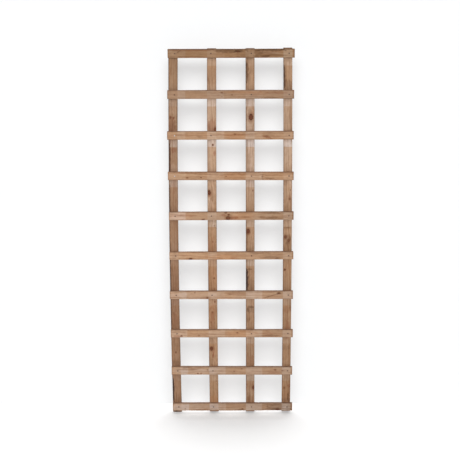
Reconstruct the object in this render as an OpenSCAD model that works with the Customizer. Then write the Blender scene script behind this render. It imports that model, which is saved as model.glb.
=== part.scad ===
// Wooden plant trellis panel: upright battens with rails nailed flat across their front faces.
// The panel stands on the XY plane, centred on X = 0, with its front towards -Y.
// The rails lie in front of the plane Y = 0 and the uprights behind it, so the laps meet face to face.

/* [Panel] */
// Overall height, from the lowest foot to the highest upright top
panel_h = 1830; // [1200:5:2400]
// Overall width, across the longest rails
panel_w = 610; // [450:5:900]
// Height of the bottom rail's centre line above the lowest foot
bottom_rail_z = 30; // [28:0.5:120]
// Drop from the highest upright top to the top rail's centre line
top_rail_drop = 22.5; // [22:0.5:120]
// How far a full-length rail runs past the outer edge of an outer upright
rail_overhang = 10; // [9:0.5:60]

/* [Battens] */
// Width of an upright, across the panel
upright_w = 44; // [30:1:60]
// Width of a rail, up the panel
rail_w = 40; // [30:1:60]
// Thickness of every batten, front to back
batten_t = 19; // [18:0.5:25]

/* [Nails] */
// Length of a nail, with its head
nail_len = 35; // [30:1:35]
// Diameter of a nail's head
nail_head_d = 6; // [4:0.5:8]
// Thickness of a nail's head
nail_head_t = 1.2; // [0.8:0.1:2]
// Diameter of a nail's shank
nail_shank_d = 2.6; // [1.8:0.1:3.4]
// Length of a nail's point
nail_point = 4; // [2:0.5:5]
// Depth of a nail's head below the rail's face
nail_sink = 0.5; // [0.1:0.1:1.5]

/* [Hidden] */
$fn = 48;

// Uprights from left to right. Each one is cut from rough stock, so it has its own lie.
UPRIGHT_NAMES = ["upright_left", "upright_mid_left", "upright_mid_right", "upright_right"];
// How far each foot stands above the lowest one
upright_rise = [0, 3, 3, 5];
// Sideways shift from even spacing, at the ends
upright_shift = [-0.5, 2, 2, -0.5];
// Sideways bow at mid-height, measured from the straight line between the ends
upright_bow = [-7.5, -3.5, 0.5, 3.5];
// Sideways lean of the top end, matched by an equal lean the other way at the foot
upright_lean = [1.5, 0, 0, -0.5];
// How much narrower each one is than the nominal width
upright_shy = [0, 0, 1, 1.5];
// Sideways place of the nails from each upright's centre line
nail_side = [8.5, -3, 6, 5.5];
upright_tone = [0.88, 0.97, 0.96, 0.98];

// Rails from top to bottom
// How far each rail sits above even spacing
rail_rise = [-1.5, 1.5, 2.5, 2, 2, 0, -3, -4.5, -2, 3.5];
// How much wider each rail is than the nominal width
rail_extra = [2, 1, 0, -0.5, 0, -1.5, 0.5, -1, 1, -1.5];
// How far each rail stops short of the panel's edge, at its left and right ends
left_short = [8, 3.5, 0, 0.5, 2.5, 2, 1, 3, 4.5, 7.5];
right_short = [1, 2.5, 3, 1.5, 0.5, 0.5, 1, 0, 2, 0.5];
// Slope of each rail, in degrees, with its right end up
rail_slope = [0, 0, 0, -0.15, 0.1, 0.15, 0, 0, -0.15, 0];
rail_tone = [0.85, 0.93, 0.97, 0.99, 0.96, 1, 1.02, 1, 0.98, 0.92];

upright_count = len(UPRIGHT_NAMES);
rail_count = len(rail_rise);
upright_len = panel_h - max(upright_rise);
upright_pitch = (panel_w - 2 * rail_overhang - upright_w) / (upright_count - 1);
rail_pitch = (panel_h - bottom_rail_z - top_rail_drop) / (rail_count - 1);
// Straight lengths that stand in for a bowed edge
bow_steps = 12;
// How far a cut runs out past the face it starts from
cut_past = 1;
timber = [0.71, 0.57, 0.45];
zinc = [0.55, 0.53, 0.50];

function two_digits(n) = n < 10 ? str("0", n) : str(n);
function rail_name(r) = str("rail_", two_digits(r + 1));
function nails_name(r) = str("nails_", rail_name(r));

// Place along an upright, from -1 at its foot to 1 at its top
function upright_run(u, z) = 2 * (z - upright_rise[u]) / upright_len - 1;

// Sideways place of an upright's centre line at height z
function upright_x(u, z) =
    let (run = upright_run(u, z))
    (u - (upright_count - 1) / 2) * upright_pitch + upright_shift[u]
    + upright_lean[u] * run
    + upright_bow[u] * (1 - run * run);

// Height of a rail's centre line at the middle of the panel
function rail_z(r) = bottom_rail_z + (rail_count - 1 - r) * rail_pitch + rail_rise[r];

// The uprights that a rail is nailed to: every one at the top and bottom of the panel,
// and between them both outer ones with the two inner ones taking turns
function nailed_uprights(r) =
    r == 0 || r == rail_count - 1 ? [0, 1, 2, 3] :
    r % 2 == 1 ? [0, 2, 3] :
    [0, 1, 3];

function is_nailed(u, r) = len([for (n = nailed_uprights(r)) if (n == u) n]) > 0;

// Outline of an upright seen from the front, up its left edge and down its right edge
module upright_outline(u) {
    half_w = (upright_w - upright_shy[u]) / 2;
    heights = [for (k = [0 : bow_steps]) upright_rise[u] + upright_len * k / bow_steps];
    left_edge = [for (k = [0 : bow_steps]) [upright_x(u, heights[k]) - half_w, heights[k]]];
    right_edge = [for (k = [bow_steps : -1 : 0]) [upright_x(u, heights[k]) + half_w, heights[k]]];
    polygon(concat(left_edge, right_edge));
}

// A nail standing on its head, with extra length above the head when it is used as a cutter
module nail_shape(over_head = 0) {
    head_r = nail_head_d / 2;
    shank_r = nail_shank_d / 2;
    rotate_extrude()
    polygon([
        [0, -over_head],
        [head_r, -over_head],
        [head_r, nail_head_t],
        [shank_r, nail_head_t],
        [shank_r, nail_len - nail_point],
        [0, nail_len]
    ]);
}

// Puts a nail or its cutter at one crossing, driven in from the front
module at_crossing(u, r) {
    z = rail_z(r);
    translate([upright_x(u, z) + nail_side[u], nail_sink - batten_t, z])
    rotate([-90, 0, 0])
    children();
}

module nail_cut(u, r) {
    at_crossing(u, r)
    nail_shape(over_head = nail_sink + cut_past);
}

module upright(u) {
    color(timber * upright_tone[u])
    difference() {
        translate([0, batten_t, 0])
        rotate([90, 0, 0])
        linear_extrude(batten_t)
        upright_outline(u);
        for (r = [0 : rail_count - 1]) {
            if (is_nailed(u, r)) nail_cut(u, r);
        }
    }
}

module rail(r) {
    left_x = left_short[r] - panel_w / 2;
    right_x = panel_w / 2 - right_short[r];
    width = rail_w + rail_extra[r];
    color(timber * rail_tone[r])
    difference() {
        translate([0, 0, rail_z(r)])
        rotate([0, -rail_slope[r], 0])
        translate([left_x, -batten_t, -width / 2])
        cube([right_x - left_x, batten_t, width]);
        for (u = nailed_uprights(r)) nail_cut(u, r);
    }
}

module nails(r) {
    color(zinc)
    for (u = nailed_uprights(r)) {
        at_crossing(u, r)
        nail_shape();
    }
}

for (u = [0 : upright_count - 1]) {
    upright(u);
}
for (r = [0 : rail_count - 1]) {
    rail(r);
}
for (r = [0 : rail_count - 1]) {
    nails(r);
}
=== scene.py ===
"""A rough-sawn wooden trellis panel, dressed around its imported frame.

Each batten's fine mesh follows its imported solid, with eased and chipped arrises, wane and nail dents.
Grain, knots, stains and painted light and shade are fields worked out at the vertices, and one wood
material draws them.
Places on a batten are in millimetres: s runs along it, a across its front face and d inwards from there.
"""

import math

import bpy
import numpy as np
from mathutils import Matrix, Vector


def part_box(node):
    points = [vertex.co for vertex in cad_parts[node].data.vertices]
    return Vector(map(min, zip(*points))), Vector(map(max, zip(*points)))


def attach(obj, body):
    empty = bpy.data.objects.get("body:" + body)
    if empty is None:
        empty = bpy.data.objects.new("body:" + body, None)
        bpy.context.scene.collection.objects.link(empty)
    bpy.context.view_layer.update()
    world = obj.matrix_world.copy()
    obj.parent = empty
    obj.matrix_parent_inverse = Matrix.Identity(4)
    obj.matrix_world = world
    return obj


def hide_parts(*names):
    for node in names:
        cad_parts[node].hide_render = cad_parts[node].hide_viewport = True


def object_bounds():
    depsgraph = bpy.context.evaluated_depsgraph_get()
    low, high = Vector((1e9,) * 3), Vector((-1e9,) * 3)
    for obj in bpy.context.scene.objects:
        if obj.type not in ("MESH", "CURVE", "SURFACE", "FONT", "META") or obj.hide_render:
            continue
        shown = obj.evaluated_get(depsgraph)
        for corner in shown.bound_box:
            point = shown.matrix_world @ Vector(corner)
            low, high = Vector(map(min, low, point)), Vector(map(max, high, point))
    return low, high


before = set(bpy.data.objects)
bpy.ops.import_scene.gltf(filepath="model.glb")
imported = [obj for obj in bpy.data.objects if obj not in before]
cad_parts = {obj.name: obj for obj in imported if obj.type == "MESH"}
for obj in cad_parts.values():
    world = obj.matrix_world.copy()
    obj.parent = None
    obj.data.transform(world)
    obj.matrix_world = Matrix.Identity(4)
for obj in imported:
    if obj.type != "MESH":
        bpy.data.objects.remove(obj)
CAD_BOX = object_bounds()
MM = 0.001

UPRIGHTS = ["upright_left", "upright_mid_left", "upright_mid_right", "upright_right"]
RAILS = [f"rail_{number:02d}" for number in range(1, 11)]

# Mesh of a batten: gaps between its stations, closer near a nail or knot, the stations of a rounded end
# as shares of its ease, and the columns on each side of its section
STATION_GAP = 2.5
FINE_GAP = 1.5
FINE_REACH = 9.0
LEAST_GAP = 0.6
END_STEPS = (0.0, 0.29, 1.0)
FACE_COLUMNS = 20
EDGE_COLUMNS = 8
CORNER_STEPS = 3
CAP_RINGS = 5

# Ease of the arrises, which varies along them, and of the ends
ARRIS = 0.7
ARRIS_SPREAD = 1.1
ARRIS_RUN = 35.0
END_EASE = 0.9

# Chips in the arrises: length and size, how far apart the chipped runs are, and the noise that starts a
# chip, makes it full and starts a run
CHIP_LENGTH = 14.0
CHIP_OVER_FACE = 2.0
CHIP_INTO_EDGE = 2.6
CHIP_EVERY = 170.0
CHIP_FROM, CHIP_FULL, CHIP_RUN_FROM = 0.86, 0.97, 0.55

# Wane: where it is full and where it ends, in half lengths, how ragged that is, and its least depth
WANE_FULL, WANE_END = 0.55, 1.05
WANE_RAGGED, WANE_END_RUN = 0.35, 22.0
WANE_LEAST, WANE_DEPTH_RUN = 0.55, 18.0

# Waves and saw marks on the faces, roughness of the end grain, and dents round the nails
FACE_WAVE = 0.25
WAVE_LENGTH = 55.0
WAVE_WIDTH = 16.0
SAW_DEPTH = 0.16
SAW_GAP = 5.0
END_ROUGHNESS = 0.5
END_GRAIN_SIZE = 2.5
DENT_DEPTH = 1.1
DENT_REACH = 4.1

# Knots: how near the edge one is cut by it, how far it bends the grain, in half widths, how many times
# farther along it, where the bend ends, squared, where the knot stands proud, and the distance for no knot
KNOT_CUT = 3.0
KNOT_BEND = 1.4
KNOT_BEND_LENGTH = 2.2
KNOT_BEND_END = 9.0
KNOT_PROUD, KNOT_PROUD_END = 0.8, 1.5
NO_KNOT = 9.0

# Numbers added to a batten's seed, to give each of its random fields its own pattern
WAVE_SEED, WORN_SEED, SAW_SEED, STAIN_AND_SHADOW_SEED, PATCH_SEED = 20, 25, 26, 30, 40
CHIP_SEED, CHIP_RUN_SEED, WANE_END_SEED, WANE_DEPTH_SEED, END_SEED = 50, 60, 70, 80, 90

# Corners of a batten's section, as indexes: a is low or high, and d is front or back
LOW_FRONT, HIGH_FRONT, HIGH_BACK, LOW_BACK = range(4)

# Looks of each batten: brightness against the middle tone, its loss from left to right or foot to top,
# warmth, and how clear its pale marks are, where other wood once covered it. A rail has them over each
# upright and just past it, from the left. An upright has them under each rail but the last, from the top,
# where they are partly painted light, and then how bleached its upper part is
LOOKS = {
    "rail_01": (0.63, 0.00, 1.5, (0.9, 0.7, 0.9, 0.4, 1.0, 0.0, 2.1)),
    "rail_02": (0.82, 0.05, -0.1, (0.2, 1.0, 0.7, 0.7, 0.6, 0.5, 0.9)),
    "rail_03": (0.97, 0.03, 0.3, (0.0, 0.9, 1.5, 1.0, 1.4, 0.6, 0.5)),
    "rail_04": (0.98, 0.04, 0.4, (0.6, 0.5, 0.8, 0.8, 1.2, 0.9, 0.6)),
    "rail_05": (0.91, 0.10, 0.1, (1.3, 1.4, 1.0, 0.5, 0.2, 0.2, 1.3)),
    "rail_06": (0.99, 0.08, 0.3, (0.7, 0.2, 1.0, 0.2, 0.4, 0.2, 1.0)),
    "rail_07": (0.99, 0.05, -0.2, (0.7, 1.1, 0.8, 0.4, 1.4, 1.3, 1.4)),
    "rail_08": (0.98, 0.08, 0.1, (1.0, 1.4, 0.8, 0.8, 1.4, 1.1, 1.2)),
    "rail_09": (0.97, 0.08, -0.3, (0.0, 1.1, 1.4, 1.1, 1.0, 1.1, 1.2)),
    "rail_10": (0.97, 0.11, -0.4, (1.0, 1.4, 1.9, 0.9, 2.0, 1.5, 2.2)),
    "upright_left": (0.74, -0.05, 0.3, (0.0, 0.7, 2.0, 1.8, 0.0, 0.5, 0.8, 0.0, 0.5), 0.2),
    "upright_mid_left": (0.88, -0.02, 0.5, (1.1, 1.7, 2.1, 0.0, 2.1, 1.2, 0.9, 1.2, 1.0), 0.9),
    "upright_mid_right": (0.84, -0.04, 0.2, (0.5, 1.8, 2.2, 1.3, 1.7, 1.9, 0.4, 1.4, 1.7), 1.0),
    "upright_right": (0.81, -0.06, 0.5, (1.5, 1.3, 2.2, 0.0, 1.3, 0.0, 0.9, 0.7, 1.2), 0.9),
}

# Colours that stains and painted shadows multiply the wood by at full strength
DARK = (0.40, 0.34, 0.30)
SOOT = (0.16, 0.13, 0.14)
RED = (0.64, 0.38, 0.30)
PLUM = (0.84, 0.66, 0.68)
GREY = (0.56, 0.56, 0.60)
GREEN = (0.50, 0.50, 0.42)
ORANGE = (1.00, 0.80, 0.62)
PALE = (1.30, 1.42, 1.60)
ROSY = (1.04, 1.16, 1.36)
PINK = (1.24, 1.16, 1.26)

# Stains, and a few painted shadows just under rails: place along the panel (x on a rail, height on an
# upright), place across the batten, half length, half width, strength, colour and, where it has one, slant
STAINS_AND_SHADOWS = {
    "rail_01": [
        (0, 21, 320, 4, 0.4, DARK), (-185, 17, 120, 6, 0.4, RED), (0, 13, 84, 10, 0.6, DARK),
        (34, 10, 17, 6, 0.8, DARK), (60, 0, 45, 18, 0.2, DARK), (190, -10, 82, 7, 0.3, GREEN),
        (165, -14, 26, 6, 0.7, DARK), (195, 16, 90, 7, 0.7, DARK), (130, 2, 22, 20, 0.5, DARK),
        (-245, 10, 9, 4, 0.7, DARK, 0.5), (200, 2, 55, 6, 0.9, ROSY),
    ],
    "rail_02": [
        (190, -16, 48, 4, 0.4, DARK), (40, 12, 120, 5, 0.5, ORANGE), (55, -4, 35, 2, 0.5, PALE),
        (230, 8, 50, 6, 0.35, RED), (110, 4, 60, 14, 0.35, ORANGE),
    ],
    "rail_03": [
        (-150, -4, 16, 5, 0.35, DARK), (176, -8, 24, 6, 0.5, RED, -0.25), (22, 0, 60, 20, 0.4, ORANGE),
        (180, 2, 36, 20, 0.2, DARK),
    ],
    "rail_04": [
        (153, -4, 5, 15, 0.35, DARK), (185, -10, 34, 5, 0.4, DARK, -0.2), (20, 0, 75, 18, 0.4, ORANGE),
        (-190, 10, 50, 8, 0.2, PALE),
    ],
    "rail_05": [
        (205, 14, 54, 5, 0.5, DARK), (215, -12, 50, 6, 0.4, DARK), (14, -9, 26, 7, 0.6, RED),
        (-36, 4, 14, 8, 0.5, RED), (22, 6, 18, 7, 0.5, PALE), (-250, 0, 60, 22, 0.35, PINK),
        (60, 0, 60, 18, 0.4, ORANGE), (180, 1, 22, 7, 0.4, PALE),
    ],
    "rail_06": [
        (12, -11, 24, 5, 0.45, RED), (198, -9, 55, 7, 0.35, DARK), (228, -15, 30, 4, 0.4, DARK),
        (130, 13, 55, 5, 0.4, DARK), (-40, -4, 90, 14, 0.4, ORANGE), (-280, 0, 20, 17, 0.2, DARK),
        (176, 2, 20, 18, 0.12, DARK), (-165, 4, 50, 12, 0.2, PALE),
    ],
    "rail_07": [
        (202, -2, 46, 3, 0.75, DARK, 0.3), (234, 11, 11, 6, 0.7, DARK), (40, 18, 45, 3, 0.3, DARK),
        (-190, 0, 120, 18, 0.4, ROSY), (45, 0, 50, 18, 0.2, PALE),
    ],
    "rail_08": [
        (200, -10, 55, 5, 0.45, DARK), (205, 9, 50, 3, 0.3, DARK), (-270, -13, 22, 5, 0.5, RED),
        (50, 2, 90, 16, 0.3, ORANGE), (180, 0, 24, 18, 0.2, RED),
    ],
    "rail_09": [
        (215, -9, 34, 6, 0.35, RED), (80, 15, 160, 3, 0.3, DARK), (-190, 0, 110, 18, 0.6, ROSY),
        (-150, 0, 44, 18, 0.2, PALE),
    ],
    "rail_10": [
        (228, 2, 50, 18, 0.40, GREY), (212, -8, 44, 7, 0.5, DARK), (205, 12, 48, 4, 0.4, DARK),
        (45, -15, 26, 4, 0.5, DARK), (292, 0, 18, 24, 0.4, DARK), (-190, 0, 130, 18, 0.65, ROSY),
        (0, -20, 320, 3, 0.4, RED),
    ],
    "upright_left": [
        (500, 0, 900, 40, 0.2, PLUM), (1745, 0, 45, 24, 0.1, DARK), (1822, 0, 14, 30, 0.6, DARK),
        (1500, -12, 10, 6, 0.6, RED), (1498, 4, 9, 4, 0.5, RED), (1450, -4, 55, 16, 0.45, RED),
        (1530, 6, 18, 14, 0.4, PALE), (1342, 4, 15, 13, 0.5, RED), (1254, 4, 24, 18, 0.6, PALE),
        (1180, 4, 60, 10, 0.2, RED), (975, 0, 30, 24, 0.12, DARK), (855, 2, 26, 18, 0.25, PALE),
        (640, 0, 170, 20, 0.15, RED), (480, 0, 50, 26, 0.3, RED), (262, 0, 14, 26, 0.2, DARK),
        (300, 2, 26, 20, 0.25, PALE), (120, 6, 60, 14, 0.2, PALE), (62, 2, 18, 24, 0.22, DARK),
        # The DARK bands at 402 and 204, just under rails, are painted shadow
        (345, 0, 26, 24, 0.12, DARK), (1640, -20, 170, 4, 0.45, DARK), (402, 0, 4, 24, 0.5, DARK),
        (204, 0, 4, 24, 0.5, DARK), (1510, 20, 80, 4, 0.4, DARK), (1545, -10, 45, 8, 0.5, PALE),
        (1460, 8, 28, 10, 0.28, DARK), (1300, -17, 100, 5, 0.45, SOOT), (1290, -16, 110, 6, 0.5, RED),
        (1080, -18, 90, 4, 0.5, SOOT), (760, -19, 240, 4, 0.5, SOOT), (130, -17, 26, 7, 0.8, SOOT),
        (80, -18, 22, 6, 0.8, SOOT), (16, 0, 16, 26, 0.85, SOOT),
    ],
    "upright_mid_left": [
        (1822, 0, 14, 30, 0.6, DARK), (1705, 0, 40, 24, 0.12, DARK), (1645, 0, 20, 24, 0.4, PALE),
        (1440, 15, 20, 7, 0.75, RED, 0.2), (1460, 2, 40, 24, 0.45, RED), (1325, 13, 14, 5, 0.6, RED),
        (1126, -10, 20, 8, 0.5, RED), (1066, -9, 48, 15, 1.0, PALE), (865, 0, 44, 26, 0.25, RED),
        (700, 0, 200, 20, 0.3, ORANGE), (525, 0, 44, 24, 0.25, RED), (480, -4, 70, 14, 0.35, RED),
        (330, -4, 26, 12, 0.3, RED), (302, -1, 14, 5, 0.7, RED, 0.15), (318, 12, 60, 9, 0.5, PALE),
        (60, 0, 36, 24, 0.35, ORANGE), (1135, 6, 34, 18, 0.2, PALE), (965, 0, 44, 24, 0.25, PALE),
        # The DARK band at 402, just under a rail, is painted shadow
        (262, 4, 16, 20, 0.35, PALE), (402, 0, 4, 24, 0.4, DARK),
    ],
    "upright_mid_right": [
        (1822, 0, 14, 30, 0.6, DARK), (1730, -14, 48, 7, 0.6, DARK), (1690, -6, 30, 10, 0.35, DARK),
        (1725, 6, 24, 14, 0.2, DARK), (1520, 12, 30, 8, 0.45, ORANGE), (1510, 0, 34, 22, 0.2, DARK),
        (1450, 0, 22, 22, 0.3, PALE), (1310, 6, 75, 18, 0.35, PALE), (900, 8, 70, 14, 0.35, PALE),
        (880, -18, 110, 6, 0.5, DARK), (936, -9, 18, 9, 0.4, RED), (747, -2, 4, 18, 0.6, DARK),
        (690, -16, 62, 7, 0.85, SOOT), (664, 6, 44, 14, 0.35, DARK), (553, 0, 5, 24, 0.55, DARK),
        (540, -12, 14, 9, 0.5, DARK), (500, -18, 70, 6, 0.4, DARK), (330, 0, 60, 18, 0.2, GREY),
        (275, 0, 36, 26, 0.3, RED), (140, 0, 20, 24, 0.15, RED), (68, 0, 20, 26, 0.2, RED),
        (105, -2, 24, 22, 0.45, PALE), (542, 2, 24, 22, 0.45, GREY), (1255, 0, 18, 22, 0.25, PALE),
        (1300, -20, 330, 4, 0.35, DARK), (1505, -20, 60, 4, 0.4, DARK),
    ],
    "upright_right": [
        (1822, 0, 14, 30, 0.7, DARK), (1690, -16, 62, 7, 0.62, DARK), (1735, 6, 45, 16, 0.35, PALE),
        (1655, 0, 26, 26, 0.35, DARK), (1485, 0, 22, 24, 0.12, DARK), (1325, 4, 75, 20, 0.35, PALE),
        (1180, 8, 24, 12, 0.3, PALE), (1100, 8, 24, 8, 0.3, RED), (935, 0, 16, 24, 0.5, PALE),
        (897, 0, 26, 18, 0.45, GREY), (860, 0, 30, 26, 0.2, DARK), (440, 6, 60, 12, 0.4, RED),
        (540, 0, 22, 24, 0.25, RED), (345, 0, 22, 24, 0.2, DARK), (326, 9, 36, 3, 0.5, DARK),
        (140, 14, 12, 7, 0.6, RED), (77, 12, 24, 7, 0.65, DARK), (80, 0, 40, 26, 0.2, RED),
        (64, 0, 14, 26, 0.2, DARK), (265, 0, 14, 22, 0.25, PALE), (660, 0, 28, 24, 0.2, GREY),
        (1180, -10, 18, 12, 0.25, DARK), (957, 0, 4, 24, 0.45, DARK),
    ],
}

# Knots: place along the panel, place across the batten, half length, half width and darkness
KNOTS = {
    "rail_01": [(36, 10, 6, 3, 0.7)],
    "rail_02": [(-41, 10, 4, 3, 0.6), (7, -1, 4, 3, 0.5), (-41, -10, 3, 2, 0.5)],
    "rail_03": [(21, 6, 4, 3, 0.6), (172, -3, 6, 4, 0.4)],
    "rail_04": [(-211, -8, 4, 3, 0.7), (-144, -7, 4, 3, 0.7), (-23, -1, 5, 3, 0.5), (153, -2, 5, 4, 0.4)],
    "rail_05": [(-14, -9, 12, 9, 0.85), (-11, 7, 5, 4, 0.9), (-25, 16, 6, 3, 0.7), (-135, -16, 7, 3, 0.8)],
    "rail_06": [(-199, -14, 8, 4, 0.9), (225, -12, 5, 3, 0.4)],
    "rail_07": [(-180, 13, 4, 3, 0.6), (-118, -13, 5, 4, 0.7), (236, 10, 6, 4, 0.6)],
    "rail_08": [(29, 5, 5, 3, 0.6), (-249, -11, 6, 4, 0.7), (-162, -8, 6, 4, 0.4)],
    "rail_09": [
        (-169, -13, 4, 3, 0.7), (-153, -13, 4, 3, 0.6), (-121, 5, 4, 3, 0.5), (13, -2, 5, 3, 0.5),
        (51, 11, 4, 3, 0.5), (217, 6, 6, 4, 0.6), (255, 2, 6, 4, 0.5),
    ],
    "rail_10": [(231, -13, 9, 5, 0.9), (54, -10, 5, 3, 0.7), (-235, -9, 4, 3, 0.5), (180, 4, 5, 4, 0.4)],
    "upright_left": [
        (1500, -12, 7, 4, 0.6), (1498, 4, 5, 3, 0.5), (317, 0, 6, 4, 0.6), (1010, -9, 6, 4, 0.4),
    ],
    "upright_mid_left": [
        (1444, 16, 8, 5, 0.6), (1367, 5, 5, 4, 1.0), (1133, -14, 12, 8, 1.0), (968, 11, 4, 3, 0.5),
        (886, 2, 4, 3, 0.5), (701, 8, 5, 4, 0.7), (645, 8, 4, 3, 0.4), (580, 10, 5, 3, 0.6),
        (525, -2, 5, 4, 0.5), (336, -9, 10, 8, 0.9), (165, 15, 4, 3, 0.5),
    ],
    "upright_mid_right": [
        (1501, 4, 16, 11, 1.0), (1142, 13, 5, 3, 0.6), (940, -10, 12, 8, 1.0), (131, 17, 11, 6, 1.0),
    ],
    "upright_right": [
        (1144, 13, 4, 3, 0.5), (1100, 10, 5, 4, 0.5), (910, -10, 9, 7, 0.8), (893, 6, 8, 8, 0.7),
        (744, -12, 5, 4, 1.0), (129, -9, 5, 4, 0.6),
    ],
}

# Wane, where the stock's bark edge was left on: corner, middle and half length along the panel,
# reach across the face, reach into the edge, and how dark its bark is
WANES = {
    "upright_left": [
        (LOW_FRONT, 1290, 130, 8, 7, 0.7), (LOW_FRONT, 1080, 110, 5, 5, 0.6),
        (LOW_FRONT, 600, 230, 4, 5, 0.6), (LOW_FRONT, 120, 75, 8, 8, 1.0), (LOW_BACK, 900, 500, 4, 4, 0.4),
    ],
    "upright_mid_left": [(HIGH_BACK, 700, 260, 4, 5, 0.6)],
    "upright_mid_right": [
        (LOW_FRONT, 694, 62, 9, 9, 1.0), (LOW_FRONT, 1705, 70, 5, 5, 0.7), (HIGH_BACK, 300, 180, 4, 4, 0.5),
    ],
    "upright_right": [(LOW_FRONT, 1694, 64, 6, 6, 0.7), (LOW_BACK, 1100, 280, 5, 5, 0.6)],
    "rail_01": [(HIGH_BACK, 60, 120, 4, 5, 0.6)],
    "rail_05": [(LOW_BACK, -90, 150, 5, 5, 0.6)],
    "rail_08": [(HIGH_BACK, 120, 100, 3, 4, 0.5)],
    "rail_10": [(LOW_FRONT, 210, 60, 3, 5, 0.5), (LOW_BACK, 60, 160, 4, 5, 0.5)],
}

# Weathering and painted light and shade, as colours that multiply the wood, how far the pale marks run past
# what made them, and where the uprights are bleached: the height of its middle, its half length and its
# fading end
MARK_COLOUR = (1.10, 1.21, 1.38)
MARK_SHIFT = 38.0
MARK_SOFT = 1.5
BLEACH = (1.26, 1.43, 1.69)
BLEACH_MIDDLE, BLEACH_FULL, BLEACH_END = 1370.0, 120.0, 380.0
# Grime, also used as painted shade on edges, ends, top faces, undersides, sides and over rails
GRIME_AND_SHADE = (0.42, 0.36, 0.34)
END_GRAIN = (0.62, 0.54, 0.50)
PATCH_LOW, PATCH_SPREAD, PATCH_LENGTH, PATCH_WIDTH = 0.96, 0.08, 70.0, 20.0

# Darkening on a rail's upper and lower front edges and ends, partly grime and partly painted shade, and
# painted shade on its top and underside; and on an upright's left and right front edges, partly grime and
# partly painted shade, and painted shade on its sides and just above each rail
RAIL_UPPER, RAIL_LOWER, RAIL_END, RAIL_TOP, RAIL_UNDER = 0.40, 0.28, 0.5, 0.55, 0.35
UPRIGHT_LEFT, UPRIGHT_RIGHT, UPRIGHT_SIDE, UPRIGHT_SHADE_OVER_RAIL = 0.68, 0.36, 0.25, 0.14
EDGE_FULL, RAIL_EDGE_REACH, UPRIGHT_EDGE_REACH = 0.5, 5.0, 6.0
END_FULL, END_REACH = 1.0, 7.0
# How far the painted shade over each rail reaches up an upright
SHADE_OVER_RAIL_REACH = 45.0

# Stains and painted shadows: where one is full and where it ends, in half sizes, and how ragged that is
STAIN_AND_SHADOW_FULL, STAIN_AND_SHADOW_END, STAIN_AND_SHADOW_RAGGED = 0.62, 1.12, 0.7

# The rust and painted shade round a nail: its colour and strength, where it is full and where it ends, and
# how flat it is
NAIL_RUST_AND_SHADE = (0.22, 0.18, 0.18)
NAIL_RUST_AND_SHADE_SHARE = 0.36
NAIL_RUST_AND_SHADE_FULL, NAIL_RUST_AND_SHADE_END = 2.5, 6.0
NAIL_RUST_AND_SHADE_SQUASH = 1.3

# Nails that kept their bright zinc, as rail and number from the left
BRIGHT_NAILS = {("rail_03", 0), ("rail_04", 0)}

# A nail's outline, as radius and depth below the top of its head, its sides, the most that its head
# leans, in degrees, and the depth that counts as its head
NAIL_OUTLINE = [
    (0.0, 0.06), (1.0, 0.0), (2.1, 0.03), (2.7, 0.16), (3.0, 0.45), (2.95, 0.85), (2.6, 1.2),
    (1.5, 1.35), (1.3, 1.8), (1.3, 31.0), (0.7, 33.2), (0.0, 35.0),
]
NAIL_SIDES = 24
NAIL_TILT = 2.0
NAIL_HEAD_DEPTH = 2.0

# The photograph's viewpoint, for an image of this many pixels a side
IMAGE_SIDE = 460
SENSOR = 36.0
FOCAL_PIXELS = 1255.6
CAMERA_HEIGHT_ANGLE = math.radians(13.136)
CAMERA_SIDE_ANGLE = math.radians(0.513)
CAMERA_ROLL = math.radians(-0.237)
CAMERA_DISTANCE = 6.124
CAMERA_TARGET = Vector((-0.0052, CAD_BOX[0][1], 0.9502))

# Stage, in metres: a pale floor, and a backdrop close behind the panel, as y and z up its height
FLOOR_HALF = 150.0
FLOOR_COLOUR = (0.72, 0.72, 0.72, 1)
FLOOR_GLOW = 0.41
BACKDROP_LINE = [(0.122, 0.0), (0.08, 1.9), (0.08, 8.0)]
BACKDROP_HALF = 12.0
BACKDROP_COLOUR = (0.354, 0.36, 0.366, 1)
BACKDROP_GLOW = 0.51
WORLD_LIGHT = 0.20

# Lamps: strength, height angle, side angle and softness. Strength 1 shows a colour that faces the lamp
# as it is written
PANEL_LAMPS = {
    "front_light": (0.405, 14.0, -3.0, 5.0),
    "high_light": (0.18, 36.0, 8.0, 24.0),
    "back_light": (0.48, 25.0, 172.0, 40.0),
    "left_light": (0.14, 25.0, -85.0, 40.0),
    "right_light": (0.14, 25.0, 85.0, 40.0),
}
BACKDROP_LAMPS = {
    f"backdrop_light_{number}": (0.46, 43.0, side_angle, 32.0)
    for number, side_angle in enumerate((-15.0, 0.0, 15.0), 1)
}
FLOOR_LAMP = (0.44, 78.0, 180.0, 25.0)
WEAK_FLOOR_LAMP = (0.22, 78.0, 180.0, 25.0)

WHITE, BLACK = (1, 1, 1, 1), (0, 0, 0, 1)


def smooth(low, high, value):
    """0 below low, 1 above high, and an even step between them. low may be the greater one."""
    share = np.clip((value - low) / (high - low), 0.0, 1.0)
    return share * share * (3.0 - 2.0 * share)


def band(low, high, soft, value):
    """1 from low to high, fading over a soft edge."""
    return smooth(low - soft, low + soft, value) * smooth(high + soft, high - soft, value)


def chance(seed, column, row=0.0):
    """A repeatable number from 0 to 1 for each whole column and row."""
    mixed = np.sin(column * 12.9898 + row * 78.233 + seed * 37.719) * 43758.5453
    return mixed - np.floor(mixed)


def noise(seed, x, y=0.0):
    """Smooth value noise from 0 to 1, one cell per unit."""
    x, y = np.broadcast_arrays(np.asarray(x, float), np.asarray(y, float))
    column, row = np.floor(x), np.floor(y)
    across, up = smooth(0.0, 1.0, x - column), smooth(0.0, 1.0, y - row)
    below = chance(seed, column, row) * (1 - across) + chance(seed, column + 1, row) * across
    above = chance(seed, column, row + 1) * (1 - across) + chance(seed, column + 1, row + 1) * across
    return below * (1 - up) + above * up


def node_points(name):
    """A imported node's corners, in millimetres."""
    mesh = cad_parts[name].data
    points = np.empty(3 * len(mesh.vertices))
    mesh.vertices.foreach_get("co", points)
    return points.reshape(-1, 3) / MM


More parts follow.
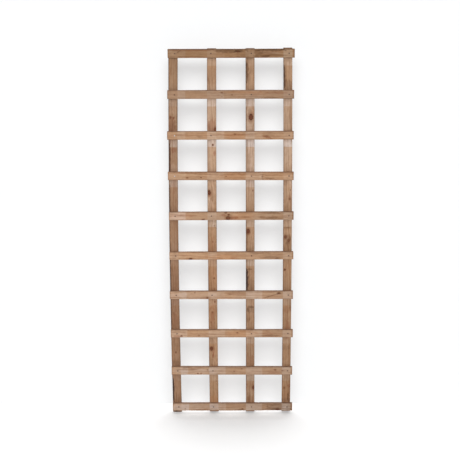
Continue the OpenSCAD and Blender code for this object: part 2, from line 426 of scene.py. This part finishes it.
class Batten:
    """One batten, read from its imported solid: its centre line, its section and its seed."""

    def __init__(self, name, seed):
        self.name, self.seed = name, seed
        self.is_rail = name in RAILS
        points = node_points(name)
        self.front_y, self.thick = points[:, 1].min(), np.ptp(points[:, 1])
        if self.is_rail:
            self.read_rail(points)
        else:
            self.read_upright(points)
        steps = np.hypot(np.diff(self.line_x), np.diff(self.line_z))
        self.line_s = np.concatenate([[0.0], np.cumsum(steps)])
        self.length = self.line_s[-1]

    def read_rail(self, points):
        """A rail is straight, so its two ends give its line."""
        near_end = 0.5
        lows, highs = [], []
        for sign in (1, -1):
            end = points[sign * points[:, 0] < (sign * points[:, 0]).min() + near_end]
            lows.append(end[end[:, 2].argmin()])
            highs.append(end[end[:, 2].argmax()])
        middle = (np.array(lows) + np.array(highs)) / 2
        self.line_x, self.line_z = middle[:, 0], middle[:, 2]
        self.width = np.linalg.norm(highs[0] - lows[0])
        slope = math.atan2(np.diff(self.line_z)[0], np.diff(self.line_x)[0])
        self.across = (-math.sin(slope), math.cos(slope))

    def read_upright(self, points):
        """An upright is bowed, so its back face's corners give its line at each height."""
        on_back, same_height = 0.01, 0.02
        back = points[points[:, 1] > points[:, 1].max() - on_back]
        self.line_z = np.unique(np.round(back[:, 2], 2))
        levels = [back[np.abs(back[:, 2] - z) < same_height, 0] for z in self.line_z]
        sides = np.array([[level.min(), level.max()] for level in levels])
        self.line_x = sides.mean(axis=1)
        self.width = np.ptp(sides, axis=1).mean()
        self.across = (1.0, 0.0)

    def station(self, place):
        """Place along the batten of an x on a rail, or of a height on an upright."""
        line = self.line_x if self.is_rail else self.line_z
        return np.interp(place, line, self.line_s)

    def points(self, s, a, d):
        """Places on the batten as points of the panel, in metres."""
        x = np.interp(s, self.line_s, self.line_x) + a * self.across[0]
        z = np.interp(s, self.line_s, self.line_z) + a * self.across[1]
        return np.stack([x, self.front_y + d, z], axis=-1) * MM


def nail_centres(rail):
    """Panel x and z of a rail's nails, from left to right, read from its group of packed nails."""
    points = node_points("nails_" + rail)
    order = points[points[:, 0].argsort()]
    between_nails = 20.0
    groups = np.split(order, np.flatnonzero(np.diff(order[:, 0]) > between_nails) + 1)
    middles = [(group.min(axis=0) + group.max(axis=0)) / 2 for group in groups]
    return [(x, z) for x, y, z in middles]


battens = {name: Batten(name, seed + 1) for seed, name in enumerate(UPRIGHTS + RAILS)}
nails = {rail: nail_centres(rail) for rail in RAILS}


def nail_places(batten):
    """Stations and offsets of the nails in a rail's front face. A nail shows on no upright."""
    line = batten.line_x, batten.line_z
    return [(batten.station(x), z - np.interp(x, *line)) for x, z in nails.get(batten.name, [])]


def crossing_edges(rail):
    """Stations where the uprights' edges cross behind a rail, from left to right."""
    edges = []
    for name in UPRIGHTS:
        upright = battens[name]
        x = np.interp(rail.line_z.mean(), upright.line_z, upright.line_x)
        edges.append((rail.station(x - upright.width / 2), rail.station(x + upright.width / 2)))
    return edges


def stations(batten):
    """Where the mesh has a section: an even run, closer at the nails, the knots and the ends."""
    closer = [place for place, offset in nail_places(batten)]
    closer += [batten.station(knot[0]) for knot in KNOTS[batten.name]]
    runs = [np.arange(0.0, batten.length, STATION_GAP)]
    runs += [place + np.arange(-FINE_REACH, FINE_REACH, FINE_GAP) for place in closer]
    start = END_EASE * np.array(END_STEPS)
    end = batten.length - start[::-1]
    kept = list(start)
    for place in np.sort(np.concatenate(runs)):
        if kept[-1] + LEAST_GAP < place < end[0] - LEAST_GAP:
            kept.append(place)
    return np.concatenate([kept, end])


def arris_radii(batten, s):
    """How far each corner is eased across the face and into the edge, at each station, and its bark."""
    radii, bark = np.empty((len(s), 4, 2)), np.zeros((len(s), 4))
    for corner in range(4):
        eased = ARRIS + ARRIS_SPREAD * noise(batten.seed, s / ARRIS_RUN, corner * 7.0) ** 2
        chip = noise(batten.seed + CHIP_SEED, s / CHIP_LENGTH, corner * 5.0)
        in_run = noise(batten.seed + CHIP_RUN_SEED, s / CHIP_EVERY, corner) > CHIP_RUN_FROM
        chip = smooth(CHIP_FROM, CHIP_FULL, chip) * in_run
        radii[:, corner, 0] = eased + CHIP_OVER_FACE * chip
        radii[:, corner, 1] = eased + CHIP_INTO_EDGE * chip
    for corner, middle, half_length, over_face, into_edge, dark in WANES.get(batten.name, []):
        away = np.abs(s - batten.station(middle)) / half_length
        ragged = WANE_RAGGED * (noise(batten.seed + WANE_END_SEED, s / WANE_END_RUN, corner) - 0.5)
        share = smooth(WANE_END, WANE_FULL, away + ragged)
        uneven = noise(batten.seed + WANE_DEPTH_SEED, s / WANE_DEPTH_RUN, corner)
        uneven = WANE_LEAST + (1 - WANE_LEAST) * uneven
        radii[:, corner, 0] += over_face * share * uneven
        radii[:, corner, 1] += into_edge * share * uneven
        bark[:, corner] = np.maximum(bark[:, corner], dark * share)
    return radii, bark


def section(batten, s):
    """The batten's outline at each station, as arrays of a and d, their outward normals, and bark."""
    radii, bark_at = arris_radii(batten, s)
    half, thick = batten.width / 2, batten.thick
    signs = [(-1, -1), (1, -1), (1, 1), (-1, 1)]
    columns = [FACE_COLUMNS, EDGE_COLUMNS] * 2
    arcs = []
    for corner, (sign_a, sign_d) in enumerate(signs):
        reach_a, reach_d = radii[:, corner, 0, None], radii[:, corner, 1, None]
        turn = math.atan2(sign_d, sign_a) + np.linspace(-1, 1, CORNER_STEPS + 1) * math.pi / 4
        arc_a = sign_a * (half - reach_a) + reach_a * np.cos(turn)
        arc_d = thick / 2 + sign_d * (thick / 2 - reach_d) + reach_d * np.sin(turn)
        arcs.append((np.stack([arc_a, arc_d]), np.stack([np.cos(turn), np.sin(turn)])))
    outline, normals, barks = [], [], []
    for corner, (arc, normal) in enumerate(arcs):
        # A rounded corner, then the flat side that leads to the next one
        share = np.linspace(0, 1, columns[corner] + 1)[1:-1]
        start, end = arc[..., -1:], arcs[(corner + 1) % 4][0][..., :1]
        outline += [arc, start + (end - start) * share]
        normals += [normal, np.repeat(normal[:, -1:], len(share), axis=1)]
        bare = np.zeros((len(s), len(share)))
        barks += [np.repeat(bark_at[:, corner, None], CORNER_STEPS + 1, axis=1), bare]
    a, d = np.concatenate(outline, axis=2)
    return a, d, np.concatenate(normals, axis=1), np.concatenate(barks, axis=1)


def knot_fields(batten, s, a):
    """The nearest knot: offset in its radii with its darkness, and distance. Also a, bent round knots."""
    best, offset, bent = np.full(s.shape, NO_KNOT), np.zeros(s.shape + (3,)), a.copy()
    edge = batten.width / 2 - KNOT_CUT
    for place, middle, half_length, half_width, dark in KNOTS[batten.name]:
        # A knot near the edge is cut by it, and runs on across the side of the batten
        along, over = s - batten.station(place), np.clip(a, -edge, edge) - middle
        shape = np.stack([along / half_length, over / half_width, np.full(s.shape, dark)], axis=-1)
        away = np.hypot(shape[..., 0], shape[..., 1])
        nearer = away < best
        best = np.where(nearer, away, best)
        offset = np.where(nearer[..., None], shape, offset)
        push = half_width * KNOT_BEND
        flow = (over / push) ** 2 + (along / (push * KNOT_BEND_LENGTH)) ** 2
        bent -= over / np.maximum(flow, 1.0) * smooth(KNOT_BEND_END, 1.0, flow)
    return offset, best, bent


def sink(batten, s, a, d, normal):
    """How far waves, saw marks and nail dents lie below the plain section. Knots stay proud."""
    front = np.clip(-normal[1], 0.0, 1.0)
    depth = FACE_WAVE * noise(batten.seed + WAVE_SEED, s / WAVE_LENGTH, (a + 3 * d) / WAVE_WIDTH)
    most_slant, worn_length, worn_width = 0.3, 90.0, 14.0
    slant = most_slant * (chance(batten.seed, 4.0) - 0.5)
    worn = noise(batten.seed + WORN_SEED, s / worn_length, a / worn_width)
    depth += SAW_DEPTH * worn * noise(batten.seed + SAW_SEED, (s + slant * (a + d)) / SAW_GAP)
    knot_away = knot_fields(batten, s, a)[1]
    depth *= 1.0 - np.abs(normal[1]) * smooth(KNOT_PROUD_END, KNOT_PROUD, knot_away)
    for place, offset in nail_places(batten):
        away = np.hypot(s - place, a - offset)
        depth += front * DENT_DEPTH * np.exp(-(away / DENT_REACH) ** 2)
    return depth


def grain_field(batten, s, bent, d):
    """Place along the batten, place across the grain, and distance from the heart of the tree."""
    near_heart, heart_spread, heart_aside = 28.0, 45.0, 14.0
    most_drift, drift_run, most_taper = 22.0, 420.0, 0.018
    turn = 2 * math.pi * chance(batten.seed + 1, 3.0)
    heart = near_heart + heart_spread * chance(batten.seed + 2, 5.0)
    drift = most_drift * (noise(batten.seed + 3, s / drift_run) - 0.5)
    taper = (s - batten.length / 2) * most_taper * (chance(batten.seed + 4, 7.0) - 0.3)
    heart_a = heart_aside * math.cos(turn) + drift
    heart_d = batten.thick / 2 + heart * (1 if chance(batten.seed + 5, 9.0) > 0.5 else -1) + taper
    ring = np.hypot(bent - heart_a, d - heart_d)
    own_stretch = 900.0 * batten.seed
    return np.stack([s + own_stretch, bent + d, ring], axis=-1)


def tint(warmth):
    """A colour multiplier, orange for a warm batten and grey for a cool one."""
    more_red, less_blue = 0.06, 0.10
    return np.array([1.0 + more_red * warmth, 1.0, 1.0 - less_blue * warmth])


def blend(share, colour):
    """A colour multiplier that goes from white to the colour as share goes from 0 to 1."""
    return 1.0 + np.asarray(share)[..., None] * (np.array(colour) - 1.0)


def stain_and_shadow_tone(batten, s, a):
    """The product of the batten's listed stains and painted shadows."""
    tone = np.ones(s.shape + (3,))
    ragged_run, ragged_width = 9.0, 4.0
    ragged = noise(batten.seed + STAIN_AND_SHADOW_SEED, s / ragged_run, a / ragged_width) - 0.5
    for place, middle, half_length, half_width, strength, colour, *slant in STAINS_AND_SHADOWS[batten.name]:
        along, over = s - batten.station(place), a - middle
        if slant:
            over = over - slant[0] * along
        away = np.hypot(along / half_length, over / half_width)
        tone *= blend(strength * smooth(STAIN_AND_SHADOW_END, STAIN_AND_SHADOW_FULL, away + STAIN_AND_SHADOW_RAGGED * ragged), colour)
    return tone


def rail_weather_and_shade(batten, s, a, normal, marks):
    """Pale marks where other wood lay on a rail, grime and painted shade on its edges and ends, painted
    shade on its top and underside, and rust and painted shade round its nails.
    """
    front, top, under = np.clip(-normal[1], 0, 1), np.clip(normal[0], 0, 1), np.clip(-normal[0], 0, 1)
    spans = []
    for low, high in crossing_edges(batten):
        spans += [(low, high), (high, high + MARK_SHIFT)]
    mark = np.zeros(s.shape)
    for clear, (low, high) in zip(marks, spans):
        mark += clear * band(low, high, MARK_SOFT, s)
    tone = blend(front * mark, MARK_COLOUR)
    # Front edges and ends darkened by grime and painted shade; the top and underside by painted shade
    to_edge = batten.width / 2 - np.abs(a)
    edge = smooth(RAIL_EDGE_REACH, EDGE_FULL, to_edge) * np.where(a > 0, RAIL_UPPER, RAIL_LOWER)
    end = RAIL_END * smooth(END_REACH, END_FULL, np.minimum(s, batten.length - s))
    tone = tone * blend(front * np.maximum(edge, end), GRIME_AND_SHADE)
    tone = tone * blend(RAIL_TOP * top + RAIL_UNDER * under, GRIME_AND_SHADE)
    # Rust round each nail, deepened by painted shade in its dent
    for place, offset in nail_places(batten):
        away = np.hypot(s - place, (a - offset) * NAIL_RUST_AND_SHADE_SQUASH)
        rust_and_shade = NAIL_RUST_AND_SHADE_SHARE * front * smooth(NAIL_RUST_AND_SHADE_END, NAIL_RUST_AND_SHADE_FULL, away)
        tone = tone * blend(rust_and_shade, NAIL_RUST_AND_SHADE)
    return tone


def upright_weather_and_shade(batten, s, a, normal, marks, bleach):
    """Pale bands just under each rail, partly painted light, painted shade just above it, a bleached upper
    part, grime and painted shade on the edges, and painted shade on the sides.
    """
    height = np.interp(s, batten.line_s, batten.line_z)
    front = np.clip(-normal[1], 0, 1)
    pale, shade_over_rail = np.zeros(s.shape), np.zeros(s.shape)
    for name, clear in zip(RAILS, marks):
        rail = battens[name]
        middle = np.interp(batten.line_x.mean(), rail.line_x, rail.line_z)
        below, above = middle - rail.width / 2 - height, height - middle - rail.width / 2
        # A pale band under each rail: painted light, partly also a mark where other wood lay
        pale += clear * band(0.0, MARK_SHIFT, MARK_SOFT, below)
        # Painted shade over each rail, darkest at its top edge and fading upwards
        shade_over_rail += (above > 0) * np.exp(-np.abs(above) / SHADE_OVER_RAIL_REACH)
    tone = blend(front * pale, MARK_COLOUR) * blend(UPRIGHT_SHADE_OVER_RAIL * shade_over_rail, GRIME_AND_SHADE)
    tone = tone * blend(bleach * smooth(BLEACH_END, BLEACH_FULL, np.abs(height - BLEACH_MIDDLE)), BLEACH)
    # Front edges darkened by grime and painted shade, more on the left; the sides by painted shade
    to_edge = batten.width / 2 - np.abs(a)
    edge = smooth(UPRIGHT_EDGE_REACH, EDGE_FULL, to_edge) * np.where(a < 0, UPRIGHT_LEFT, UPRIGHT_RIGHT)
    return tone * blend(front * edge + UPRIGHT_SIDE * np.abs(normal[0]), GRIME_AND_SHADE)


def tone_field(batten, s, a, normal):
    """Colour multiplier at each vertex, from the batten's own tone, its weathering and stains, and painted
    light and shade.
    """
    run = 2.0 * s / batten.length - 1.0
    base, loss, warmth, *worn = LOOKS[batten.name]
    weathering_and_shade = (rail_weather_and_shade if batten.is_rail else upright_weather_and_shade)(batten, s, a, normal, *worn)
    patch = noise(batten.seed + PATCH_SEED, s / PATCH_LENGTH, a / PATCH_WIDTH)
    patchy = PATCH_LOW + PATCH_SPREAD * patch
    tone = (base * (1.0 - loss * run) * patchy)[..., None] * tint(warmth) * weathering_and_shade
    end_grain = 1.0 - np.hypot(normal[0], normal[1])
    return tone * blend(np.clip(end_grain, 0, 1), END_GRAIN) * stain_and_shadow_tone(batten, s, a)


def ring_faces(first, second):
    """Quads between two closed rings of vertex numbers."""
    return np.stack([first, np.roll(first, -1), np.roll(second, -1), second], axis=1)


def fan_faces(hub, ring):
    """Triangles between a vertex number and a closed ring of them."""
    return np.stack([np.full(len(ring), hub), ring, np.roll(ring, -1)], axis=1)


def batten_mesh(batten):
    """The batten's vertices as s, a and d with normals and bark, and its faces as lists of numbers."""
    line = stations(batten)
    a, d, normal, bark = section(batten, line)
    count = a.shape[1]
    s = np.repeat(line[:, None], count, axis=1)
    from_end = np.minimum(line, batten.length - line)
    to_round = np.maximum(END_EASE - from_end, 0)
    ease = END_EASE - np.sqrt(END_EASE**2 - to_round**2)
    depth = sink(batten, s, a, d, normal) + ease[:, None]
    a, d = a - normal[0] * depth, d - normal[1] * depth

    numbers = np.arange(s.size).reshape(s.shape)
    quads = [ring_faces(numbers[i], numbers[i + 1]) for i in range(len(line) - 1)]
    parts = [(s.ravel(), a.ravel(), d.ravel(), np.tile(normal, len(line)), bark.ravel())]
    total = s.size
    fans = []
    for end, inward in ((0, 1), (len(line) - 1, -1)):
        # Rings that shrink towards the middle of the end grain, then a fan
        last = numbers[end]
        middle_a, middle_d = a[end].mean(), d[end].mean()
        for ring in range(1, CAP_RINGS):
            share = 1 - ring / CAP_RINGS
            ring_a, ring_d = middle_a + (a[end] - middle_a) * share, middle_d + (d[end] - middle_d) * share
            place = ring_a / END_GRAIN_SIZE, ring_d / END_GRAIN_SIZE
            rough = END_ROUGHNESS * noise(batten.seed + END_SEED + end, *place)
            this = total + np.arange(count)
            quads.append(ring_faces(this, last) if inward > 0 else ring_faces(last, this))
            ring_s = line[end] + inward * rough
            parts.append((ring_s, ring_a, ring_d, np.zeros((2, count)), np.zeros(count)))
            last, total = this, total + count
        hub = np.array([line[end] + inward * END_ROUGHNESS / 2])
        parts.append((hub, np.array([middle_a]), np.array([middle_d]), np.zeros((2, 1)), np.zeros(1)))
        fans.append(fan_faces(total, last[::-inward]))
        total += 1
    fields = [np.concatenate(field, axis=-1) for field in zip(*parts)]
    return fields, np.concatenate(quads), np.concatenate(fans)


def add_object(name, data):
    """A new object in the scene."""
    made = bpy.data.objects.new(name, data)
    bpy.context.scene.collection.objects.link(made)
    return made


def add_mesh(name, points, faces, material):
    """A new object in the scene, with a smooth mesh of one material."""
    mesh = bpy.data.meshes.new(name)
    mesh.from_pydata(points, [], faces)
    mesh.polygons.foreach_set("use_smooth", [True] * len(mesh.polygons))
    mesh.materials.append(material)
    mesh.update()
    return add_object(name, mesh)


def add_field(piece, name, kind, values):
    """Stores one value per vertex on a piece's mesh."""
    attribute = piece.data.attributes.new(name, kind, "POINT")
    key = {"FLOAT": "value", "FLOAT_VECTOR": "vector", "FLOAT_COLOR": "color"}[kind]
    attribute.data.foreach_set(key, np.ascontiguousarray(values, np.float32).ravel())


def make_batten(batten, material):
    """Builds a batten's piece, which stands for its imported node."""
    (s, a, d, normal, bark), quads, fans = batten_mesh(batten)
    if batten.is_rail:
        # On a rail s, a and d follow x, z and y, which is left-handed, so its faces are turned outwards
        quads, fans = quads[:, ::-1], fans[:, ::-1]
    faces = quads.tolist() + fans.tolist()
    piece = add_mesh(batten.name + "_sawn", batten.points(s, a, d), faces, material)
    offset, away, bent = knot_fields(batten, s, a)
    tone = tone_field(batten, s, a, normal)
    add_field(piece, "grain", "FLOAT_VECTOR", grain_field(batten, s, bent, d))
    add_field(piece, "knot", "FLOAT_VECTOR", offset)
    add_field(piece, "knot_away", "FLOAT", away)
    add_field(piece, "tone", "FLOAT_COLOR", np.pad(tone, ((0, 0), (0, 1)), constant_values=1.0))
    add_field(piece, "bark", "FLOAT", bark)
    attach(piece, "root")
    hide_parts(batten.name)
    return piece


def make_nails(rail, material):
    """Builds a rail's nails as one piece, each with its own lean, standing for their packed group."""
    name = "nails_" + rail
    head_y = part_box("nails_" + rail)[0].y / MM
    turns = np.linspace(0, 2 * math.pi, NAIL_SIDES, endpoint=False)
    points, faces, fresh = [], [], []
    for number, (x, z) in enumerate(nails[rail]):
        seed = battens[rail].seed * 10 + number
        lean = np.radians(NAIL_TILT) * (2 * chance(seed, np.array([1.0, 2.0])) - 1)
        first = len(points)
        for radius, depth in NAIL_OUTLINE:
            sides = turns if radius else turns[:1]
            dx, dz = radius * np.cos(sides), radius * np.sin(sides)
            leaned = np.maximum(depth + (dx * lean[0] + dz * lean[1]) * (depth < NAIL_HEAD_DEPTH), 0)
            points += [(x + i, head_y + k, z + j) for i, j, k in zip(dx, dz, leaned)]
        fresh += [float((rail, number) in BRIGHT_NAILS)] * (len(points) - first)
        rows = [first + 1 + i * NAIL_SIDES + np.arange(NAIL_SIDES) for i in range(len(NAIL_OUTLINE) - 2)]
        tip = first + 1 + len(rows) * NAIL_SIDES
        for upper, lower in zip(rows, rows[1:]):
            faces += ring_faces(lower, upper).tolist()
        faces += fan_faces(first, rows[0]).tolist() + fan_faces(tip, rows[-1][::-1]).tolist()
    piece = add_mesh(name + "_driven", np.array(points) * MM, faces, material)
    add_field(piece, "fresh", "FLOAT", np.array(fresh))
    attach(piece, "root")
    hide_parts(name)
    return piece


def srgb(red, green, blue):
    """A colour as seen, from 0 to 255, in the linear values that shaders take."""
    seen = [value / 255 for value in (red, green, blue)]
    linear = [c / 12.92 if c <= 0.04045 else ((c + 0.055) / 1.055) ** 2.4 for c in seen]
    return (*linear, 1.0)


class Shader:
    """A node tree, with short calls for the nodes that it takes."""

    def __init__(self, tree):
        self.tree = tree

    def put(self, socket, value):
        """Links another node's output to a socket, or sets its value."""
        if isinstance(value, bpy.types.NodeSocket):
            self.tree.links.new(value, socket)
        else:
            socket.default_value = value

    def fill(self, node, sockets):
        for key, value in sockets.items():
            self.put(node.inputs[key], value)

    def node(self, kind, sockets=(), **settings):
        made = self.tree.nodes.new("ShaderNode" + kind)
        for key, value in settings.items():
            setattr(made, key, value)
        self.fill(made, dict(sockets))
        return made

    def maths(self, operation, first, second=0.0, third=0.0):
        return self.node("Math", {0: first, 1: second, 2: third}, operation=operation).outputs[0]

    def weigh(self, first, *others):
        """The sum of some values, each given with the share that it is multiplied by."""
        total = self.maths("MULTIPLY", *first)
        for value, share in others:
            total = self.maths("MULTIPLY_ADD", value, share, total)
        return total

    def field(self, name, output="Vector"):
        return self.node("Attribute", attribute_name=name).outputs[output]

    def stretch(self, vector, by):
        return self.node("VectorMath", {0: vector, 1: by}, operation="MULTIPLY").outputs[0]

    def speckle(self, vector, per_unit, detail=2.0):
        """Noise from 0 to 1, with its number of features per unit along each axis."""
        sockets = {"Vector": self.stretch(vector, per_unit), "Scale": 1.0, "Detail": detail}
        return self.node("TexNoise", sockets).outputs["Fac"]

    def spread(self, value, low, high, to_low=0.0, to_high=1.0):
        """A smooth step from to_low to to_high as the value goes from low to high."""
        sockets = {"Value": value, "From Min": low, "From Max": high, "To Min": to_low, "To Max": to_high}
        return self.node("MapRange", sockets, interpolation_type="SMOOTHSTEP").outputs["Result"]

    def ramp(self, value, stops):
        made = self.node("ValToRGB", {"Fac": value})
        points = made.color_ramp.elements
        while len(points) < len(stops):
            points.new(1.0)
        for point, (place, colour) in zip(points, stops):
            point.position, point.color = place, colour
        return made.outputs["Color"]

    def mix(self, share, first, second, blend="MIX"):
        """Two colours mixed. The node has sockets for other kinds of value too, so its own go by number."""
        factor, colour_a, colour_b, result = 0, 6, 7, 2
        sockets = {factor: share, colour_a: first, colour_b: second}
        return self.node("Mix", sockets, data_type="RGBA", blend_type=blend).outputs[result]


def new_material(name):
    """A new material, the shader that builds it and its surface node."""
    material = bpy.data.materials.new(name)
    material.use_nodes = True
    shade = Shader(material.node_tree)
    return material, shade, shade.tree.nodes["Principled BSDF"]


def draw_grain(shade, grain):
    """Sawn wood with its year rings, streaks, fibres and saw marks: its colour, fibres and relief."""
    ring_gap, ring_wander = 3.4, 5.0
    ring = shade.node("SeparateXYZ", {0: grain}).outputs["Z"]
    wander = shade.speckle(grain, (0.006, 0.03, 0.03))
    wandered = shade.maths("MULTIPLY_ADD", wander, ring_wander, ring)
    year = shade.maths("FRACT", shade.maths("DIVIDE", wandered, ring_gap))
    late = shade.ramp(year, [(0.0, BLACK), (0.5, (0.12, 0.12, 0.12, 1)), (0.86, WHITE), (0.97, BLACK)])
    streak = shade.speckle(grain, (0.006, 0.14, 0.14), 3.0)
    mottle = shade.speckle(grain, (0.05, 0.10, 0.10), 4.0)
    fibre = shade.speckle(grain, (0.03, 1.7, 1.7), 3.0)
    saw = shade.speckle(grain, (0.30, 0.015, 0.015), 3.0)

    dark = shade.weigh((fibre, 0.27), (late, 0.22), (streak, 0.40), (mottle, 0.34), (saw, 0.06))
    wood = shade.ramp(dark, [
        (0.25, srgb(203, 170, 140)), (0.55, srgb(183, 146, 115)),
        (0.75, srgb(159, 120, 90)), (0.95, srgb(127, 90, 64)),
    ])
    blotch = shade.spread(shade.speckle(grain, (0.011, 0.03, 0.03)), 0.35, 0.7)
    wood = shade.mix(shade.maths("MULTIPLY", blotch, 0.25), wood, srgb(193, 146, 108))
    relief = shade.weigh((fibre, 0.8), (saw, 0.9), (late, 0.25))
    return wood, fibre, relief


def draw_knots(shade, grain, wood):
    """Knots drawn on the wood: a reddish halo, and a brown core with a dark rim."""
    knot = shade.field("knot")
    away = shade.field("knot_away", "Fac")
    flat_knot = shade.stretch(knot, (1, 1, 0))
    length = shade.node("VectorMath", {0: flat_knot}, operation="LENGTH").outputs["Value"]
    radius = shade.maths("MAXIMUM", length, shade.maths("MULTIPLY", away, 0.85))
    ragged = shade.speckle(grain, (0.2, 0.3, 0.3), 3.0)
    warped = shade.maths("MULTIPLY_ADD", ragged, 0.7, shade.maths("SUBTRACT", radius, 0.35))

    darkness = shade.node("SeparateXYZ", {0: knot}).outputs["Z"]
    knot_dark = shade.maths("MULTIPLY", darkness, shade.spread(away, 2.4, 1.9))
    darkest = shade.maths("MULTIPLY", knot_dark, knot_dark)
    halo = shade.maths("MULTIPLY", shade.spread(warped, 2.2, 0.9, 0.0, 0.6), darkest)
    wood = shade.mix(halo, wood, (0.55, 0.36, 0.25, 1), "MULTIPLY")
    core = shade.ramp(warped, [
        (0.0, srgb(74, 40, 26)), (0.35, srgb(116, 66, 42)),
        (0.7, srgb(96, 52, 34)), (0.95, srgb(58, 33, 24)),
    ])
    in_knot = shade.maths("MULTIPLY", shade.spread(warped, 1.12, 0.78), knot_dark)
    return shade.mix(in_knot, wood, core)


def draw_bark(shade, grain, wood):
    """What is left of the bark, drawn on the waney edges."""
    ragged = shade.speckle(grain, (0.08, 0.3, 0.3), 3.0)
    bark = shade.maths("MULTIPLY", shade.field("bark", "Fac"), shade.spread(ragged, 0.2, 0.5))
    return shade.mix(bark, wood, srgb(66, 46, 40))


def wood_material():
    """Rough-sawn softwood in each batten's own tone with its painted light and shade, with knots and bark.
    """
    material, shade, surface = new_material("sawn_softwood")
    grain = shade.field("grain")
    wood, fibre, relief = draw_grain(shade, grain)
    wood = shade.mix(1.0, wood, shade.field("tone", "Color"), "MULTIPLY")
    wood = draw_knots(shade, grain, wood)
    wood = draw_bark(shade, grain, wood)
    bump = shade.node("Bump", {"Strength": 0.8, "Distance": 0.0010, "Height": relief})
    shade.fill(surface, {
        "Base Color": wood,
        "Roughness": shade.spread(fibre, 0.2, 0.8, 0.72, 0.92),
        "Specular IOR Level": 0.25,
        "Normal": bump.outputs["Normal"],
    })
    return material


def nail_material():
    """Galvanised steel, dulled and a little rusty, with a few heads that kept their shine."""
    material, shade, surface = new_material("nail_zinc")
    place = shade.node("TexCoord").outputs["Object"]
    mottle = shade.speckle(place, (900, 900, 900), 3.0)
    dull = shade.ramp(mottle, [(0.3, srgb(62, 46, 40)), (0.55, srgb(84, 64, 54)), (0.75, srgb(98, 66, 48))])
    bright = shade.ramp(mottle, [(0.3, srgb(172, 170, 172)), (0.7, srgb(214, 212, 214))])
    bump = shade.node("Bump", {"Strength": 0.3, "Distance": 0.0002, "Height": mottle})
    shade.fill(surface, {
        "Base Color": shade.mix(shade.field("fresh", "Fac"), dull, bright),
        "Metallic": 0.4,
        "Roughness": shade.spread(mottle, 0.3, 0.7, 0.38, 0.66),
        "Normal": bump.outputs["Normal"],
    })
    return material


def seen_rays(shade):
    """1 for rays that reach the eye: straight, in a mirror or through glass."""
    path = shade.node("LightPath")
    seen = shade.maths("MAXIMUM", path.outputs["Is Camera Ray"], path.outputs["Is Glossy Ray"])
    return shade.maths("MAXIMUM", seen, path.outputs["Is Transmission Ray"])


def paper_material(name, colour, glow, one_sided):
    """Plain paper, which glows a little to the eye. A one-sided sheet isn't seen from behind."""
    material, shade, surface = new_material(name)
    shade.fill(surface, {
        "Base Color": colour,
        "Roughness": 0.9,
        "Specular IOR Level": 0.0,
        "Emission Color": WHITE,
        "Emission Strength": shade.maths("MULTIPLY", seen_rays(shade), glow),
    })
    if one_sided:
        clear = shade.node("BsdfTransparent").outputs[0]
        behind = shade.node("NewGeometry").outputs["Backfacing"]
        paper = shade.node("MixShader", {0: behind, 1: surface.outputs[0], 2: clear})
        shade.fill(shade.tree.nodes["Material Output"], {"Surface": paper.outputs[0]})
    return material


def add_sheet(name, outline, half_width, colour, glow, one_sided=False):
    """A sheet of stage paper, from its outline seen from the side, as y and z."""
    points = [(x, y, z) for x in (-half_width, half_width) for y, z in outline]
    count = len(outline)
    faces = [(i, i + count, i + count + 1, i + 1) for i in range(count - 1)]
    sheet = add_mesh(name, points, faces, paper_material(name + "_paper", colour, glow, one_sided))
    sheet.visible_shadow = not one_sided
    return sheet


def direction(height_angle, side_angle):
    """The direction towards a place in front of the panel, raised and turned to its right."""
    level = math.cos(height_angle)
    return Vector((level * math.sin(side_angle), -level * math.cos(side_angle), math.sin(height_angle)))


def add_camera():
    """The camera, aimed at its target and rolled a little, as the photograph was taken."""
    back = direction(CAMERA_HEIGHT_ANGLE, CAMERA_SIDE_ANGLE)
    data = bpy.data.cameras.new("camera")
    data.sensor_width = SENSOR
    data.lens = FOCAL_PIXELS / IMAGE_SIDE * SENSOR
    camera = add_object("camera", data)
    aim = back.to_track_quat("Z", "Y").to_matrix().to_4x4()
    place = Matrix.Translation(CAMERA_TARGET + CAMERA_DISTANCE * back)
    camera.matrix_world = place @ aim @ Matrix.Rotation(CAMERA_ROLL, 4, "Z")
    bpy.context.scene.camera = camera


def add_sun(name, lamp, lit, shading=()):
    """A far lamp that lights only some things. If some are named as shading, nothing else shades it."""
    strength, height_angle, side_angle, softness = lamp
    data = bpy.data.lights.new(name, "SUN")
    data.energy = strength * math.pi
    data.angle = math.radians(softness)
    sun = add_object(name, data)
    towards = direction(math.radians(height_angle), math.radians(side_angle))
    sun.rotation_euler = towards.to_track_quat("Z", "Y").to_euler()
    sun.light_linking.receiver_collection = bpy.data.collections.new(name + "_lit")
    for thing in lit:
        sun.light_linking.receiver_collection.objects.link(thing)
    if shading:
        sun.light_linking.blocker_collection = bpy.data.collections.new(name + "_shading")
    for thing in shading:
        sun.light_linking.blocker_collection.objects.link(thing)


def set_world():
    """White to the eye, and a dim even light on everything else."""
    world = bpy.data.worlds.new("studio")
    world.use_nodes = True
    bpy.context.scene.world = world
    shade = Shader(world.node_tree)
    lit = shade.node("MapRange", {"Value": seen_rays(shade), "To Min": WORLD_LIGHT, "To Max": 1.0})
    shade.fill(shade.tree.nodes["Background"], {"Color": WHITE, "Strength": lit.outputs["Result"]})


wood = wood_material()
zinc = nail_material()
panel = [make_batten(batten, wood) for batten in battens.values()]
panel += [make_nails(rail, zinc) for rail in RAILS]

floor_line = [(-FLOOR_HALF, 0.0), (FLOOR_HALF, 0.0)]
floor = add_sheet("floor", floor_line, FLOOR_HALF, FLOOR_COLOUR, FLOOR_GLOW)
backdrop = add_sheet(
    "backdrop", BACKDROP_LINE, BACKDROP_HALF, BACKDROP_COLOUR, BACKDROP_GLOW, one_sided=True,
)
add_camera()
for name, lamp in PANEL_LAMPS.items():
    add_sun(name, lamp, panel)
for name, lamp in BACKDROP_LAMPS.items():
    add_sun(name, lamp, [backdrop])

# The bottom rail would draw a hard line on the floor, so it shades only the weaker lamp
clear_of_floor = [piece for piece in panel if RAILS[-1] not in piece.name]
add_sun("floor_light_1", FLOOR_LAMP, [floor], clear_of_floor)
add_sun("floor_light_2", WEAK_FLOOR_LAMP, [floor])
set_world()
bpy.context.scene.view_settings.view_transform = "Standard"
